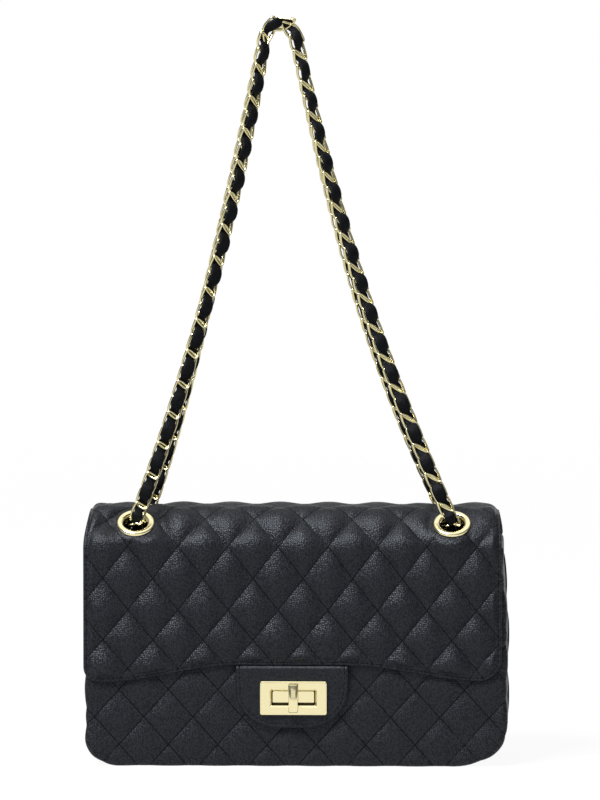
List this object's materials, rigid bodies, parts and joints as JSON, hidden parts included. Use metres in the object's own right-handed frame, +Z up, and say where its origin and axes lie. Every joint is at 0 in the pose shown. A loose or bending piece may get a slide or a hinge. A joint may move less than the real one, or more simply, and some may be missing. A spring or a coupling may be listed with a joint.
{
  "type": "quilted crossbody bag",
  "caption": "Small quilted leather flap bag with a turn lock on a tongue and a doubled shoulder strap of chain woven with leather.",
  "frame": {"origin": "middle of the base's underside, on the surface that the bag stands on", "axes": "+Z up, front of the bag towards -Y, +X to the right seen from the front"},
  "size_m": [0.2544, 0.0783, 0.4491],
  "materials": {
    "quilted_leather": "padded, diamond-quilted black leather with a pebbled grain",
    "smooth_leather": "plain black grained leather",
    "lining_leather": "thin matt black leather",
    "pale_gold": "polished pale gold plating",
    "board": "raw fibreboard"
  },
  "bodies": {
    "bag": {"front_panel": "quilted_leather", "back_panel": "quilted_leather", "back_slip_pocket": "quilted_leather", "gusset_left": "quilted_leather", "gusset_right": "quilted_leather", "base_panel": "quilted_leather", "base_board": "board", "lining": "lining_leather", "mouth_facing": "smooth_leather", "inner_pocket": "lining_leather", "lock_base": "pale_gold", "lock_base_backplate": "pale_gold"},
    "flap": {"flap_outer": "quilted_leather", "flap_lining": "lining_leather", "closure_tongue": "smooth_leather", "lock_frame": "pale_gold", "lock_frame_backplate": "pale_gold", "eyelet_front_left": "pale_gold", "eyelet_front_right": "pale_gold", "eyelet_rear_left": "pale_gold", "eyelet_rear_right": "pale_gold", "eyelet_washer_front_left": "pale_gold", "eyelet_washer_front_right": "pale_gold", "eyelet_washer_rear_left": "pale_gold", "eyelet_washer_rear_right": "pale_gold", "inner_chain_left": "pale_gold", "inner_chain_right": "pale_gold", "inner_ribbon_left": "smooth_leather", "inner_ribbon_right": "smooth_leather"},
    "turn_bar": {"turn_bar": "pale_gold", "turn_bar_retainer": "pale_gold"},
    "front_strap": {"front_strap_chain_left": "pale_gold", "front_strap_chain_top": "pale_gold", "front_strap_chain_right": "pale_gold", "front_strap_ribbon": "smooth_leather"},
    "rear_strap": {"rear_strap_chain_left": "pale_gold", "rear_strap_chain_top": "pale_gold", "rear_strap_chain_right": "pale_gold", "rear_strap_ribbon": "smooth_leather"}
  },
  "joints": [
    {"name": "flap_fold", "type": "hinge", "parent": "bag", "child": "flap", "pos_m": [0, 0.0324, 0.131], "axis": [-1, 0, 0], "range_deg": [0, 105]},
    {"name": "turn_bar_turn", "type": "hinge", "parent": "bag", "child": "turn_bar", "pos_m": [0, -0.039, 0.042], "axis": [0, -1, 0], "range_deg": [0, 90]},
    {"name": "front_strap_swing", "type": "hinge", "parent": "flap", "child": "front_strap", "pos_m": [0, -0.02882, 0.14742], "axis": [1, 0, 0], "range_deg": [0, 115]},
    {"name": "rear_strap_swing", "type": "hinge", "parent": "flap", "child": "rear_strap", "pos_m": [0, 0.02482, 0.14742], "axis": [-1, 0, 0], "range_deg": [0, 70]}
  ]
}
